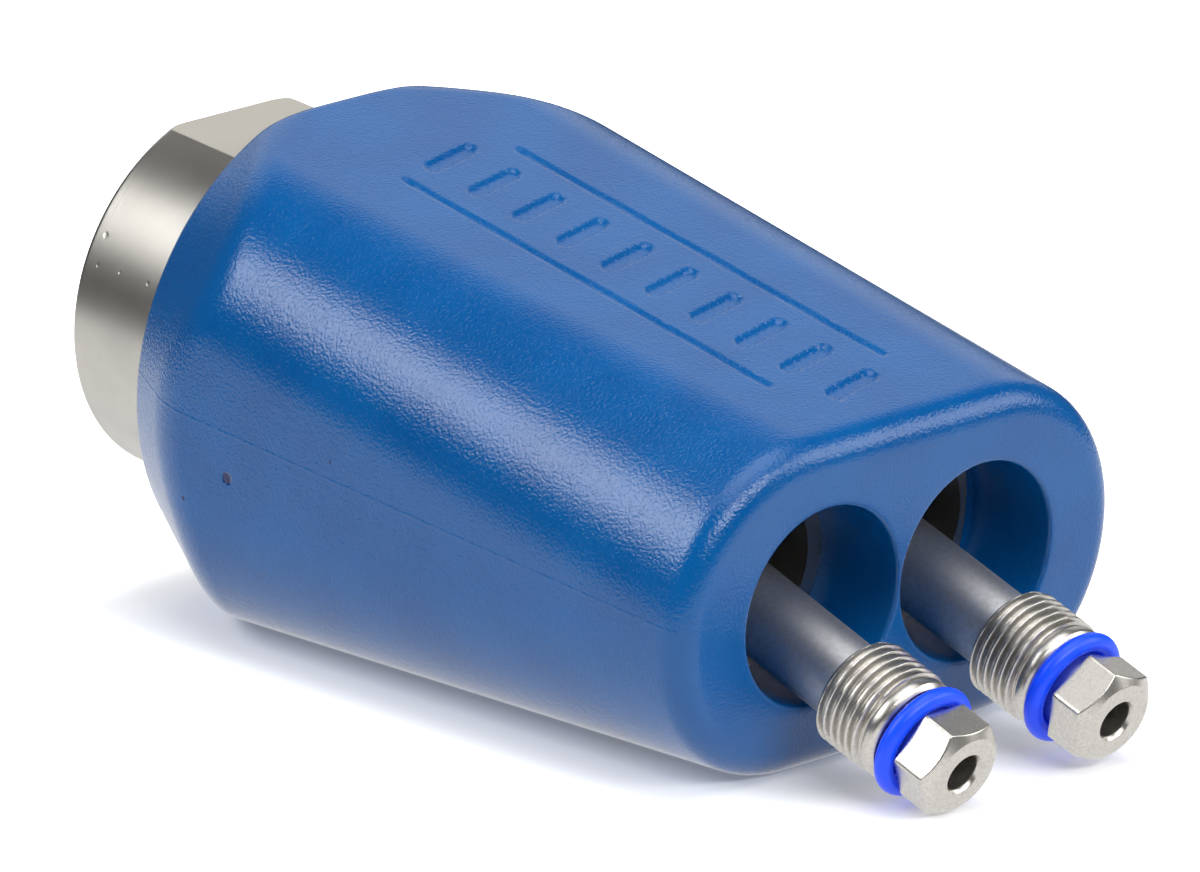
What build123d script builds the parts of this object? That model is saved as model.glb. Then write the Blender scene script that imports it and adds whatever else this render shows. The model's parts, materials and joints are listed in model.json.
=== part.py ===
from build123d import *
import math
import os

# Twin jet hydro excavation nozzle head, lying on its tapered underside.
#
# The tool axis runs through the middle of the front face and of the inlet. The
# head rests on its lower flat, so the axis dips towards the jets by the taper
# of that flat. Distances along the axis are counted backwards from the front
# face. All sizes are in millimetres and all angles in degrees.

os.makedirs("parts", exist_ok=True)

# Shroud, the cast polyurethane jacket
shroud_front_width = 81.8
shroud_front_height = 47.2
shroud_rear_radius = 41.9
shroud_rear_height = 67.6
shroud_length = 112.4
shroud_rear_corner = 6.0
shroud_front_corner = 22.6
shroud_rim_radius = 35.2
shroud_rear_chamfer_length = 13.0
shroud_front_fillet = 3.8
shroud_rear_fillet = 3.0
shroud_rim_fillet = 1.5
shroud_bore = 28.0
shroud_bore_lip = 0.7

# Steel body, one turned bar with both ports and the valve chamber
port_spacing = 28.8
body_diameter = 54.0
body_front = 14.7
body_rear = 134.2
body_edge_round = 1.2
front_flat_width = 37.0
front_flat_end = 72.0
rear_flat_width = 49.0
rear_flat_start = 106.0
wrench_flat_width = 49.2
wrench_flat_start = 112.6
key_groove_position = 46.0
key_groove_length = 10.0
key_groove_depth = 2.4
port_counterbore = 23.0
port_mouth = 25.0
port_thread_length = 13.0
port_thread_core = 14.4
port_mouth_chamfer = 0.6
stem_passage = 12.6
stem_passage_end = 79.0
feed_bore = 7.0
feed_spacing = 25.0
chamber_floor = 82.0
chamber_bore = 38.6
swirl_seat = 98.0
swirl_bore = 41.0
closing_thread_bore = 42.0
closing_thread_start = 109.5
closing_thread_lead = 0.5

# Clearances between pieces that fit in or around each other
seat_gap = 0.05
press_gap = 0.02
running_gap = 0.05
free_gap = 0.3

# How far a cutting tool runs past the face it starts from or ends in
overrun = 1.0

# Valve that feeds the two ports in turn
plate_thickness = 5.0
pin_diameter = 6.0
pin_tail = 1.0
pin_head_diameter = 9.0
pin_head_thickness = 1.6
pin_end_chamfer = 0.5
rotor_disc_thickness = 4.0
rotor_vane_height = 6.0
rotor_vane_thickness = 1.8
rotor_vane_count = 6
rotor_vane_inset = 1.0
rotor_side_gap = 0.8
rotor_hub_diameter = 14.0
rotor_window_sweep = 140.0
bush_wall = 1.5
swirl_thickness = 5.0
swirl_jet_diameter = 4.5
swirl_jet_circle = 27.0
swirl_jet_count = 6
swirl_jet_slant = 30.0
dowel_diameter = 3.0
dowel_length = 7.0
dowel_spacing = 26.0
dowel_stand = 1.0
dowel_hole_room = 1.0
plate_seal_section = 1.5
plate_seal_bore = 8.6

# Inlet bushing, its seal and the spring washer under it
washer_thickness = 1.2
washer_rise = 1.8
washer_bore = 26.0
inlet_thread_core = 24.0
inlet_thread_length = 22.0
inlet_mouth_chamfer = 1.5
inlet_throat = 19.0
inlet_throat_lead = 2.5
spanner_hole_diameter = 5.0
spanner_hole_depth = 6.0
spanner_hole_spacing = 33.0
spanner_hole_turn = 22.5
bushing_seal_section = 2.0
bushing_seal_offset = 2.6
bushing_seal_squeeze = 0.25
bushing_seal_room = 0.2

# Nozzles, the same for both jets, with places counted along the axis from the neck
hex_across_flats = 12.7
hex_back = 2.0
hex_front = 8.4
hex_face_diameter = 10.9
hex_chamfer_angle = 36.0
o_ring_section = 2.6
o_ring_bore = 11.4
collar_diameter = 15.3
collar_back = 3.75
collar_front = 1.7
collar_edge = 0.6
thread_root_diameter = 14.1
thread_runout = 0.5
thread_end = 13.2
thread_lead = 0.9
thread_lead_depth = 0.6
jet_mouth_diameter = 6.2
jet_bore = 5.4
jet_countersink_depth = 0.6
orifice_seat = 3.6
orifice_diameter = 8.0
orifice_length = 5.0
orifice_jet = 2.2
orifice_jet_length = 1.5
orifice_rim = 0.6
stem_outer_diameter = 11.4
stem_bore = 9.0
stem_socket_front = 6.0
stem_end = 56.35
stem_edge = 0.5
straightener_length = 24.0
straightener_vane = 0.8
straightener_inset = 3.0

# How the loose nozzles lie: the length still held in the port, then for each the gap where it
# bears, its sideways turn, its spin and the place of its O ring in the neck
stem_hold = 12.45
left_bearing_gap = 0.1
left_yaw = 1.3
left_spin = 0.1
left_ring_place = 0.25
right_bearing_gap = 0.19
right_yaw = 0.9
right_spin = 17.0
right_ring_place = -0.4

# Where the front face stands, so that the middle of the footprint is the origin
front_face_offset = -54.16

# The tool axis
taper = math.degrees(math.atan2(shroud_rear_height - shroud_front_height, 2 * shroud_length))
dip_cos = math.cos(math.radians(taper))
dip_sin = math.sin(math.radians(taper))
front_centre = Vector(0, front_face_offset, shroud_front_height / 2 * dip_cos)
tool_plane = Plane(origin=front_centre, x_dir=(1, 0, 0), z_dir=(0, -dip_cos, -dip_sin))
tool_axis = Axis(front_centre, -tool_plane.z_dir)
tool_profile = Plane(origin=front_centre, x_dir=(1, 0, 0), z_dir=tool_plane.y_dir)


def station(distance):
    """Plane across the tool axis, this far behind the front face, facing the jets."""
    return tool_plane.offset(-distance)


def polar(radius, angle):
    """Point at a radius and an angle in a sketch."""
    return (radius * math.cos(math.radians(angle)), radius * math.sin(math.radians(angle)))


def export(part, node):
    """Name a finished piece and write it to its own file."""
    part.label = node
    export_step(part, f"parts/{node}.step")


# Slope at which the round side of the shroud meets its corner, the same at both ends
rear_corner_height = shroud_rear_height / 2 - shroud_rear_corner
corner_slope = math.asin(rear_corner_height / (shroud_rear_radius - shroud_rear_corner))


def shroud_outline(half_width, half_height, corner):
    """Flat top and bottom, round sides and corners that meet the sides at the set slope."""
    side = corner + (half_height - corner) / math.sin(corner_slope)
    side_centre = half_width - side
    flat_half = side_centre + (side - corner) * math.cos(corner_slope)
    slope = math.degrees(corner_slope)
    corner_sweep = 90 - slope
    Line((-flat_half, half_height), (flat_half, half_height))
    CenterArc((flat_half, half_height - corner), corner, 90, -corner_sweep)
    CenterArc((side_centre, 0), side, slope, -2 * slope)
    CenterArc((flat_half, corner - half_height), corner, -slope, -corner_sweep)
    Line((flat_half, -half_height), (-flat_half, -half_height))
    CenterArc((-flat_half, corner - half_height), corner, -90, -corner_sweep)
    CenterArc((-side_centre, 0), side, 180 + slope, -2 * slope)
    CenterArc((-flat_half, half_height - corner), corner, 180 - slope, -corner_sweep)


def body_envelope(gap):
    """Outside of the steel body with its three pairs of flats and the key groove, grown by a gap."""
    radius = body_diameter / 2 + gap
    groove = radius - key_groove_depth
    with BuildPart() as envelope:
        with BuildSketch(tool_profile):
            with BuildLine():
                Polyline(
                    (0, body_front),
                    (radius, body_front),
                    (radius, key_groove_position + gap),
                    (groove, key_groove_position + gap),
                    (groove, key_groove_position + key_groove_length - gap),
                    (radius, key_groove_position + key_groove_length - gap),
                    (radius, body_rear),
                    (0, body_rear),
                    close=True,
                )
            make_face()
        revolve(axis=tool_axis)
        fillet(envelope.edges().sort_by(tool_axis)[-1], radius=body_edge_round)
        flats = (
            (body_front - overrun, front_flat_end - gap, front_flat_width),
            (rear_flat_start + gap, wrench_flat_start, rear_flat_width),
            (wrench_flat_start, body_rear + overrun, wrench_flat_width),
        )
        for start, end, width in flats:
            with BuildSketch(station(start)):
                Rectangle(4 * body_diameter, 2 * body_diameter)
                Rectangle(4 * body_diameter, width + 2 * gap, mode=Mode.SUBTRACT)
            extrude(amount=start - end, mode=Mode.SUBTRACT)
    return envelope.part


# Shroud: a round rear that flattens to a slot shaped front, chamfered at the back
rear_cone_slope = (shroud_rear_radius - shroud_rim_radius) / shroud_rear_chamfer_length
cone_start_radius = 1.5 * shroud_rear_radius
cone_start = shroud_length - (cone_start_radius - shroud_rim_radius) / rear_cone_slope

with BuildPart() as rear_turning:
    with BuildSketch(tool_profile):
        with BuildLine():
            Polyline(
                (0, -overrun),
                (cone_start_radius, -overrun),
                (cone_start_radius, cone_start),
                (shroud_rim_radius, shroud_length),
                (0, shroud_length),
                close=True,
            )
        make_face()
    revolve(axis=tool_axis)

with BuildPart() as shroud:
    with BuildSketch(tool_plane):
        with BuildLine():
            shroud_outline(shroud_front_width / 2, shroud_front_height / 2, shroud_front_corner)
        make_face()
    with BuildSketch(station(shroud_length)):
        with BuildLine():
            shroud_outline(shroud_rear_radius, shroud_rear_height / 2, shroud_rear_corner)
        make_face()
    loft(ruled=True)
    fillet(shroud.faces().sort_by(tool_axis)[0].edges(), radius=shroud_front_fillet)
    add(rear_turning.part, mode=Mode.INTERSECT)
    rear_face = shroud.faces().sort_by(tool_axis)[-1]
    cone_edges = shroud.faces().filter_by(GeomType.CONE).edges()
    cone_edges = cone_edges.filter_by(lambda edge: edge not in rear_face.edges())
    fillet(cone_edges, radius=shroud_rear_fillet)
    fillet(shroud.faces().sort_by(tool_axis)[-1].edges(), radius=shroud_rim_fillet)
    for side in (-1, 1):
        bore_centre = tool_plane.from_local_coords((side * port_spacing / 2, 0, 0))
        with BuildSketch(Plane(origin=bore_centre, x_dir=(1, 0, 0), z_dir=tool_plane.y_dir)):
            with BuildLine():
                lip_start = (shroud_bore / 2, shroud_bore_lip)
                lip_end = (shroud_bore / 2 + shroud_bore_lip, 0)
                bore_edge = Polyline(lip_end, (lip_end[0], -overrun), (0, -overrun), (0, body_front))
                Polyline(bore_edge @ 1, (shroud_bore / 2, body_front), lip_start)
                RadiusArc(lip_start, lip_end, shroud_bore_lip)
            make_face()
        revolve(axis=Axis(bore_centre, tool_axis.direction), mode=Mode.SUBTRACT)
    add(body_envelope(seat_gap), mode=Mode.SUBTRACT)

# Steel body: ports at the front, valve chamber and closing thread at the rear
dowel_depth = plate_thickness - dowel_stand

with BuildPart() as steel_body:
    add(body_envelope(0))
    with BuildSketch(tool_profile):
        with BuildLine():
            Polyline(
                (0, chamber_floor),
                (chamber_bore / 2, chamber_floor),
                (chamber_bore / 2, swirl_seat),
                (swirl_bore / 2, swirl_seat),
                (swirl_bore / 2, closing_thread_start),
                (closing_thread_bore / 2, closing_thread_start + closing_thread_lead),
                (closing_thread_bore / 2, body_rear + overrun),
                (0, body_rear + overrun),
                close=True,
            )
        make_face()
    revolve(axis=tool_axis, mode=Mode.SUBTRACT)
    with BuildSketch(station(body_front)):
        with GridLocations(port_spacing, 0, 2, 1):
            Circle(port_counterbore / 2)
    extrude(amount=-(port_mouth - body_front), mode=Mode.SUBTRACT)
    with BuildSketch(station(port_mouth)):
        with GridLocations(port_spacing, 0, 2, 1):
            Circle(port_thread_core / 2)
    extrude(amount=-port_thread_length, mode=Mode.SUBTRACT)
    with BuildSketch(station(port_mouth)):
        with GridLocations(port_spacing, 0, 2, 1):
            Circle(stem_passage / 2)
    extrude(amount=-(stem_passage_end - port_mouth), mode=Mode.SUBTRACT)
    with BuildSketch(station(stem_passage_end - overrun)):
        with GridLocations(feed_spacing, 0, 2, 1):
            Circle(feed_bore / 2)
    extrude(amount=stem_passage_end - chamber_floor - 2 * overrun, mode=Mode.SUBTRACT)
    with BuildSketch(station(chamber_floor)):
        with GridLocations(0, dowel_spacing, 1, 2):
            Circle(dowel_diameter / 2 + press_gap)
    extrude(amount=dowel_length - dowel_depth + dowel_hole_room, mode=Mode.SUBTRACT)
    with BuildSketch(station(chamber_floor)):
        Circle(pin_head_diameter / 2 + seat_gap)
    extrude(amount=pin_head_thickness + seat_gap, mode=Mode.SUBTRACT)
    mouths = steel_body.edges().filter_by(GeomType.CIRCLE)
    mouths = mouths.filter_by(lambda edge: abs(edge.radius - port_thread_core / 2) < 0.01)
    chamfer(mouths.group_by(tool_axis)[0], length=port_mouth_chamfer)

# Port plate, the hard face that the rotor turns on
plate_rear = chamber_floor + plate_thickness
seal_inner = plate_seal_bore / 2
seal_outer = seal_inner + plate_seal_section

with BuildPart() as port_plate:
    with BuildSketch(station(chamber_floor)):
        Circle(chamber_bore / 2 - seat_gap)
        with GridLocations(feed_spacing, 0, 2, 1):
            Circle(feed_bore / 2, mode=Mode.SUBTRACT)
        with GridLocations(0, dowel_spacing, 1, 2):
            Circle(dowel_diameter / 2 + press_gap, mode=Mode.SUBTRACT)
        Circle(pin_diameter / 2 + press_gap, mode=Mode.SUBTRACT)
    extrude(amount=-plate_thickness)
    with BuildSketch(station(chamber_floor)):
        with GridLocations(feed_spacing, 0, 2, 1):
            Circle(seal_outer + seat_gap)
            Circle(seal_inner - seat_gap, mode=Mode.SUBTRACT)
    extrude(amount=-plate_seal_section, mode=Mode.SUBTRACT)

with BuildPart() as plate_dowels:
    with BuildSketch(station(chamber_floor + dowel_depth)):
        with GridLocations(0, dowel_spacing, 1, 2):
            Circle(dowel_diameter / 2)
    extrude(amount=dowel_length)

# Pin with a head behind the plate, the shaft of the rotor
rotor_front = plate_rear + free_gap
vane_front = rotor_front + rotor_disc_thickness
rotor_rear = vane_front + rotor_vane_height
pin_rear = swirl_seat + swirl_thickness + pin_tail

with BuildPart() as rotor_pin:
    with BuildSketch(station(chamber_floor)):
        Circle(pin_head_diameter / 2)
    extrude(amount=pin_head_thickness)
    with BuildSketch(station(chamber_floor)):
        Circle(pin_diameter / 2)
    extrude(amount=-(pin_rear - chamber_floor))
    chamfer(rotor_pin.faces().sort_by(tool_axis)[-1].edges(), length=pin_end_chamfer)

# Rotor: a disc with one long window and straight vanes, on a pressed bush
bush_inner = pin_diameter / 2 + running_gap
bush_outer = bush_inner + bush_wall
rotor_radius = chamber_bore / 2 - rotor_side_gap
window_circle = feed_spacing / 2
window_half = feed_bore / 2

with BuildPart() as rotor:
    with BuildSketch(station(rotor_front)):
        Circle(rotor_radius)
        SlotArc(
            CenterArc((0, 0), window_circle, -rotor_window_sweep / 2, rotor_window_sweep),
            2 * window_half,
            mode=Mode.SUBTRACT,
        )
    extrude(amount=-rotor_disc_thickness)
    with BuildSketch(station(rotor_front)):
        Circle(rotor_hub_diameter / 2)
    extrude(amount=-(rotor_rear - rotor_front))
    with BuildSketch(station(vane_front)):
        with PolarLocations(0, rotor_vane_count, start_angle=180 / rotor_vane_count):
            with Locations((rotor_radius / 2, 0)):
                Rectangle(rotor_radius - rotor_vane_inset, rotor_vane_thickness)
    extrude(amount=-rotor_vane_height)
    with BuildSketch(station(rotor_front)):
        Circle(bush_outer + press_gap)
    extrude(amount=-(rotor_rear - rotor_front), mode=Mode.SUBTRACT)

with BuildPart() as rotor_bush:
    with BuildSketch(station(rotor_front)):
        Circle(bush_outer)
        Circle(bush_inner, mode=Mode.SUBTRACT)
    extrude(amount=-(rotor_rear - rotor_front))

# Swirl plate: slanted jets that turn the rotor, and the rear support of its pin
with BuildPart() as swirl_plate:
    with BuildSketch(station(swirl_seat)):
        Circle(swirl_bore / 2 - seat_gap)
        Circle(pin_diameter / 2 + seat_gap, mode=Mode.SUBTRACT)
    extrude(amount=-swirl_thickness)
    middle = station(swirl_seat + swirl_thickness / 2)
    for index in range(swirl_jet_count):
        angle = index * 360 / swirl_jet_count
        across = middle.x_dir * math.cos(math.radians(angle)) + middle.y_dir * math.sin(math.radians(angle))
        around = middle.z_dir.cross(across)
        slant = math.radians(swirl_jet_slant)
        jet_plane = Plane(
            origin=middle.origin + across * (swirl_jet_circle / 2),
            x_dir=across,
            z_dir=middle.z_dir * math.cos(slant) + around * math.sin(slant),
        )
        with BuildSketch(jet_plane):
            Circle(swirl_jet_diameter / 2)
        extrude(amount=2 * swirl_thickness, both=True, mode=Mode.SUBTRACT)

# Spring washer, inlet bushing and its seal
swirl_rear = swirl_seat + swirl_thickness
bushing_front = swirl_rear + washer_thickness + washer_rise
washer_outer = swirl_bore / 2 - free_gap
washer_inner = washer_bore / 2

with BuildPart() as spring_washer:
    with BuildSketch(tool_profile):
        with BuildLine():
            Polyline(
                (washer_inner, swirl_rear + washer_rise),
                (washer_outer, swirl_rear),
                (washer_outer, swirl_rear + washer_thickness),
                (washer_inner, bushing_front),
                close=True,
            )
        make_face()
    revolve(axis=tool_axis)

spigot_radius = swirl_bore / 2 - seat_gap
thread_radius = closing_thread_bore / 2 - seat_gap
groove_radius = spigot_radius - bushing_seal_section + bushing_seal_room
groove_half = bushing_seal_section / 2 + bushing_seal_room
groove_front = bushing_front + bushing_seal_offset - groove_half
groove_rear = bushing_front + bushing_seal_offset + groove_half
inlet_thread_front = body_rear - inlet_thread_length

with BuildPart() as inlet_bushing:
    with BuildSketch(tool_profile):
        with BuildLine():
            Polyline(
                (inlet_throat / 2, bushing_front),
                (spigot_radius, bushing_front),
                (spigot_radius, groove_front),
                (groove_radius, groove_front),
                (groove_radius, groove_rear),
                (spigot_radius, groove_rear),
                (spigot_radius, closing_thread_start + closing_thread_lead),
                (thread_radius, closing_thread_start + 2 * closing_thread_lead),
                (thread_radius, body_rear),
                (inlet_thread_core / 2 + inlet_mouth_chamfer, body_rear),
                (inlet_thread_core / 2, body_rear - inlet_mouth_chamfer),
                (inlet_thread_core / 2, inlet_thread_front),
                (inlet_throat / 2, inlet_thread_front - inlet_throat_lead),
                close=True,
            )
        make_face()
    revolve(axis=tool_axis)
    with BuildSketch(station(body_rear)):
        with PolarLocations(spanner_hole_spacing / 2, 2, start_angle=spanner_hole_turn):
            Circle(spanner_hole_diameter / 2)
    extrude(amount=spanner_hole_depth, mode=Mode.SUBTRACT)


def seal_ring(across, inner_radius, section, squeeze):
    """O ring of round section, flattened a little by its groove on the outside."""
    profile = Plane(origin=across.origin, x_dir=across.x_dir, z_dir=-across.y_dir)
    with BuildPart() as ring:
        with BuildSketch(profile):
            with Locations((inner_radius + section / 2, 0)):
                Circle(section / 2)
            with Locations((inner_radius + section - squeeze, 0)):
                Rectangle(section, 2 * section, align=(Align.MIN, Align.CENTER), mode=Mode.SUBTRACT)
        revolve(axis=Axis(across.origin, across.z_dir))
    return ring.part


bushing_seal = seal_ring(
    station(bushing_front + bushing_seal_offset),
    groove_radius + seat_gap,
    bushing_seal_section,
    bushing_seal_squeeze,
)


def plate_seal(side):
    """Seal between the port plate and the chamber floor, round one feed bore."""
    middle = station(chamber_floor + plate_seal_section / 2)
    across = Plane(
        origin=middle.from_local_coords((side * feed_spacing / 2, 0, 0)),
        x_dir=middle.x_dir,
        z_dir=middle.z_dir,
    )
    return seal_ring(across, seal_inner, plate_seal_section, 0)


# Nozzles, each tipped forwards until its stem bears on the lower lip and the roof of the port
def nozzle_plane(side, bearing_gap, yaw, spin):
    """Plane across a nozzle at its neck, facing out of the jet."""
    bearing = port_thread_core / 2 - bearing_gap
    diagonal = math.hypot(stem_hold, stem_outer_diameter)
    slope = math.atan2(stem_hold, stem_outer_diameter) - math.acos(2 * bearing / diagonal)
    turn = math.radians(yaw)
    level_forward = tool_plane.z_dir * math.cos(turn) + tool_plane.x_dir * math.sin(turn)
    forward = level_forward * math.cos(slope) - tool_plane.y_dir * math.sin(slope)
    rise = level_forward * math.sin(slope) + tool_plane.y_dir * math.cos(slope)
    lip = station(port_mouth).from_local_coords((side * port_spacing / 2, -bearing, 0))
    centre = lip + rise * (stem_outer_diameter / 2) + forward * (stem_end - stem_hold)
    level = forward.cross(tool_plane.y_dir).normalized()
    steep = level.cross(forward)
    across = level * math.cos(math.radians(spin)) + steep * math.sin(math.radians(spin))
    return Plane(origin=centre, x_dir=across, z_dir=forward)


def nozzle_profile(across):
    """Plane through a nozzle axis: radius to the right, forwards upwards."""
    return Plane(origin=across.origin, x_dir=across.x_dir, z_dir=-across.y_dir)


def nozzle_body(across):
    """Hexagon head, O ring neck, plain collar, thread core and socket for the stem."""
    corner = hex_across_flats / math.sqrt(3)
    beyond = corner + overrun
    chamfer_drop = (beyond - hex_face_diameter / 2) * math.tan(math.radians(hex_chamfer_angle))
    neck = o_ring_bore / 2 - seat_gap
    root = thread_root_diameter / 2
    turn_axis = Axis(across.origin, across.z_dir)
    with BuildPart() as body:
        with BuildSketch(across.offset(hex_back)):
            RegularPolygon(corner, 6)
        extrude(amount=hex_front - hex_back)
        with BuildSketch(nozzle_profile(across)):
            with BuildLine():
                Polyline(
                    (hex_face_diameter / 2, hex_front),
                    (beyond, hex_front - chamfer_drop),
                    (beyond, hex_front + overrun),
                    (hex_face_diameter / 2, hex_front + overrun),
                    close=True,
                )
            make_face()
        revolve(axis=turn_axis, mode=Mode.SUBTRACT)
        with BuildSketch(nozzle_profile(across)):
            with BuildLine():
                Polyline(
                    (0, hex_back),
                    (neck, hex_back),
                    (neck, -collar_front),
                    (collar_diameter / 2 - collar_edge, -collar_front),
                    (collar_diameter / 2, -collar_front - collar_edge),
                    (collar_diameter / 2, -collar_back),
                    (root, -collar_back - thread_runout),
                    (root, thread_lead - thread_end),
                    (root - thread_lead_depth, -thread_end),
                    (0, -thread_end),
                    close=True,
                )
            make_face()
        revolve(axis=turn_axis)
        with BuildSketch(nozzle_profile(across)):
            with BuildLine():
                Polyline(
                    (0, hex_front + overrun),
                    (jet_mouth_diameter / 2, hex_front + overrun),
                    (jet_mouth_diameter / 2, hex_front),
                    (jet_bore / 2, hex_front - jet_countersink_depth),
                    (jet_bore / 2, orifice_seat),
                    (orifice_diameter / 2, orifice_seat),
                    (orifice_diameter / 2, -stem_socket_front),
                    (stem_outer_diameter / 2, -stem_socket_front),
                    (stem_outer_diameter / 2, -thread_end - overrun),
                    (0, -thread_end - overrun),
                    close=True,
                )
            make_face()
        revolve(axis=turn_axis, mode=Mode.SUBTRACT)
    return body.part


def nozzle_orifice(across):
    """Hard insert with a cone that narrows to the jet hole."""
    outer = orifice_diameter / 2 - press_gap
    back = orifice_seat - orifice_length
    with BuildPart() as insert:
        with BuildSketch(nozzle_profile(across)):
            with BuildLine():
                Polyline(
                    (orifice_jet / 2, orifice_seat),
                    (outer, orifice_seat),
                    (outer, back),
                    (outer - orifice_rim, back),
                    (orifice_jet / 2, orifice_seat - orifice_jet_length),
                    close=True,
                )
            make_face()
        revolve(axis=Axis(across.origin, across.z_dir))
    return insert.part


def nozzle_stem(across):
    """Long polished tube that calms the water before the orifice."""
    front = -stem_socket_front
    outer = stem_outer_diameter / 2 - press_gap
    with BuildPart() as stem:
        with BuildSketch(nozzle_profile(across)):
            with BuildLine():
                Polyline(
                    (stem_bore / 2, front),
                    (outer, front),
                    (outer, stem_edge - stem_end),
                    (outer - stem_edge, -stem_end),
                    (stem_bore / 2, -stem_end),
                    close=True,
                )
            make_face()
        revolve(axis=Axis(across.origin, across.z_dir))
    return stem.part


def nozzle_straightener(across):
    """Crossed vanes that stop the water from spinning in the stem."""
    span = stem_bore - 2 * press_gap
    with BuildPart() as vanes:
        with BuildSketch(across.offset(straightener_inset - stem_end)):
            Rectangle(span, straightener_vane)
            Rectangle(straightener_vane, span)
        extrude(amount=straightener_length)
    return vanes.part


nozzle_planes = {
    "left": (nozzle_plane(-1, left_bearing_gap, left_yaw, left_spin), left_ring_place),
    "right": (nozzle_plane(1, right_bearing_gap, right_yaw, right_spin), right_ring_place),
}

export(shroud.part, "shroud")
export(steel_body.part, "steel_body")
export(port_plate.part, "port_plate")
export(plate_dowels.part, "plate_dowels")
export(rotor_pin.part, "rotor_pin")
export(rotor.part, "rotor")
export(rotor_bush.part, "rotor_bush")
export(swirl_plate.part, "swirl_plate")
export(spring_washer.part, "spring_washer")
export(inlet_bushing.part, "inlet_bushing")
export(bushing_seal, "bushing_seal")
export(plate_seal(-1), "left_plate_seal")
export(plate_seal(1), "right_plate_seal")

for name, (plane, ring_place) in nozzle_planes.items():
    export(nozzle_body(plane), f"{name}_nozzle")
    export(seal_ring(plane.offset(ring_place), o_ring_bore / 2, o_ring_section, 0), f"{name}_o_ring")
    export(nozzle_orifice(plane), f"{name}_orifice")
    export(nozzle_stem(plane), f"{name}_stem")
    export(nozzle_straightener(plane), f"{name}_straightener")
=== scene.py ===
import json
import math

import bmesh
import bpy
import numpy as np
from mathutils import Matrix, Quaternion, Vector


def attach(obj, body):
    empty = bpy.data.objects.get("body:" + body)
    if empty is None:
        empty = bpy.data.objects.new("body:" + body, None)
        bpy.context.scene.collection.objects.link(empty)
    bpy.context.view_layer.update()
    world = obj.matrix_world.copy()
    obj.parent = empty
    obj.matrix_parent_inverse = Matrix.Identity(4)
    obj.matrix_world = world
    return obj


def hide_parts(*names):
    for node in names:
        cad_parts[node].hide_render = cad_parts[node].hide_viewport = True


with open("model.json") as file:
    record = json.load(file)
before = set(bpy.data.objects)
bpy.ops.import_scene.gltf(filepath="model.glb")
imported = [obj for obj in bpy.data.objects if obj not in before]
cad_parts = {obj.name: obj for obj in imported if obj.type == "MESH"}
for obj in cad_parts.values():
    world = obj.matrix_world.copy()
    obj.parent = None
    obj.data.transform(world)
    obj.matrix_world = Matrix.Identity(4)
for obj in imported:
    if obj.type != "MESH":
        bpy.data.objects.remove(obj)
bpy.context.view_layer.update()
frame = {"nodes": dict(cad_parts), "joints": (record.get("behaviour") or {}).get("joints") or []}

nodes = frame["nodes"]

# Sizes of the head in millimetres, counted back from the front face along the tool axis
MM = 0.001
ROTOR_STATION = 92.3
SLEEVE_LENGTH = 112.4
FRONT_HALF = (40.9, 23.6, 23.4)
REAR_HALF = (41.9, 33.8, 19.7)
REAR_RIM = 35.2
CONE_LENGTH = 13.0
FRONT_ROUND = 3.8
CONE_BLEND = 2.0
RIM_ROUND = 1.65
PORT_OFFSET = 14.4
BORE_RADIUS = 14.0
BORE_LIP = 0.7
LEAST_FACE = 0.03
BORE_DEPTH = 14.7
BODY_RADIUS = 27.0
FRONT_FLAT_HALF = 18.5
FRONT_FLAT_END = 72.0
REAR_FLAT_HALF = 24.5
REAR_FLAT_START = 106.0
SEAT_GAP = 0.05
BODY_REAR = 134.2
INLET_FIRST = BODY_REAR - 2.6
INLET_PITCH = 1.814
INLET_TURNS = 9
INLET_CREST = 11.15
INLET_ROOT = 12.04

# Sizes of a nozzle in millimetres, counted forwards from its neck
PORT_MOUTH = 25.0
PORT_CORE = 7.2
STEM_RADIUS = 5.7
STEM_END = 56.35
STEM_HOLD = 12.45
BEARING_GAP = {"left": 0.1, "right": 0.19}
YAW = {"left": 1.3, "right": 0.9}
SPIN = {"left": 0.1, "right": 17.0}
HEX_HALF = 6.35
HEX_FACE = 5.45
HEX_FRONT = 8.4
HEX_BACK = 2.0
HEX_CHAMFER = math.tan(math.radians(36))
NECK = 5.65
COLLAR = 7.65
COLLAR_FRONT = -1.7
COLLAR_BACK = -3.75
COLLAR_EDGE = 0.6
THREAD_CREST = 7.93
THREAD_ROOT = 7.05
THREAD_PITCH = 1.411
THREAD_END = -13.2
THREAD_PHASE = 0.53
THREAD_FADE = 0.4
THREAD_TIP = THREAD_ROOT - 0.6
THREAD_LEAD = 1.2
SOCKET_RADIUS = 5.7
SOCKET_FRONT = -6.0
INSERT_RADIUS = 4.0
INSERT_SEAT = 3.6
JET_RADIUS = 2.7
JET_MOUTH = 3.1

# The tool frame: x to the right seen from the jets, d backwards along the axis, h upwards
joint = frame["joints"][0]
BACK = np.array(joint["axis"], float) / np.linalg.norm(joint["axis"])
RIGHT = np.array([1.0, 0.0, 0.0])
UP = np.cross(RIGHT, BACK)
FRONT = np.array(joint["pos_m"], float) - BACK * ROTOR_STATION * MM


def tool(x, d, h):
    """Points of the tool frame in millimetres as points of the model in metres.

    Each is the front point plus x to the right, d backwards and h upwards.
    """
    x, d, h = np.broadcast_arrays(np.asarray(x, float), d, h)
    return FRONT + MM * (x[..., None] * RIGHT + d[..., None] * BACK + h[..., None] * UP)


# Shader maths


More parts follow.
